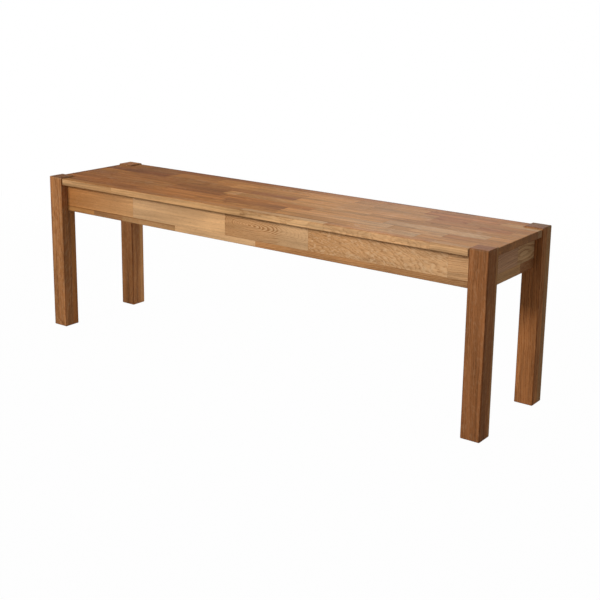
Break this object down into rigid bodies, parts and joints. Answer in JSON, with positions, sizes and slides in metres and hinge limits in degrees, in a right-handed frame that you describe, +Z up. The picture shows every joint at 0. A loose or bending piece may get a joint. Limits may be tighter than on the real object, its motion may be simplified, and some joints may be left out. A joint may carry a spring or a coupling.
{
  "type": "bench",
  "caption": "Plain oiled oak bench: a stave-glued seat notched round square legs, on a box of aprons with steel corner plates and hanger bolts.",
  "frame": {"origin": "on the floor, under the middle of the seat", "axes": "+X along the bench towards its right end, -Y towards its front long side, +Z up"},
  "size_m": [1.4, 0.328, 0.445],
  "materials": {
    "seat_oak": "oiled stave-glued oak, satin",
    "leg_oak": "oiled solid oak, satin",
    "apron_oak": "oiled stave-glued oak, satin",
    "rail_oak": "lightly oiled oak, matt",
    "beech_dowel": "bare beech",
    "zinc_sheet": "zinc-plated pressed sheet steel",
    "zinc_fastener": "bright zinc-plated steel"
  },
  "bodies": {
    "root": {"apron_back": "apron_oak", "apron_front": "apron_oak", "apron_left": "apron_oak", "apron_right": "apron_oak", "bracket_screws_back_left": "zinc_fastener", "bracket_screws_back_right": "zinc_fastener", "bracket_screws_front_left": "zinc_fastener", "bracket_screws_front_right": "zinc_fastener", "centre_rail": "rail_oak", "clip_apron_screw_left": "zinc_fastener", "clip_apron_screw_right": "zinc_fastener", "clip_apron_screws_back": "zinc_fastener", "clip_apron_screws_front": "zinc_fastener", "clip_seat_screw_left": "zinc_fastener", "clip_seat_screw_right": "zinc_fastener", "clip_seat_screws_back": "zinc_fastener", "clip_seat_screws_front": "zinc_fastener", "corner_bracket_back_left": "zinc_sheet", "corner_bracket_back_right": "zinc_sheet", "corner_bracket_front_left": "zinc_sheet", "corner_bracket_front_right": "zinc_sheet", "leg_back_left": "leg_oak", "leg_back_right": "leg_oak", "leg_bolts_back_left": "zinc_fastener", "leg_bolts_back_right": "zinc_fastener", "leg_bolts_front_left": "zinc_fastener", "leg_bolts_front_right": "zinc_fastener", "leg_front_left": "leg_oak", "leg_front_right": "leg_oak", "leg_nuts_back_left": "zinc_fastener", "leg_nuts_back_right": "zinc_fastener", "leg_nuts_front_left": "zinc_fastener", "leg_nuts_front_right": "zinc_fastener", "leg_washers_back_left": "zinc_fastener", "leg_washers_back_right": "zinc_fastener", "leg_washers_front_left": "zinc_fastener", "leg_washers_front_right": "zinc_fastener", "rail_dowels_back": "beech_dowel", "rail_dowels_front": "beech_dowel", "rail_screws": "zinc_fastener", "seat_board": "seat_oak", "seat_clip_left": "zinc_sheet", "seat_clip_right": "zinc_sheet", "seat_clips_back": "zinc_sheet", "seat_clips_front": "zinc_sheet"}
  },
  "joints": []
}
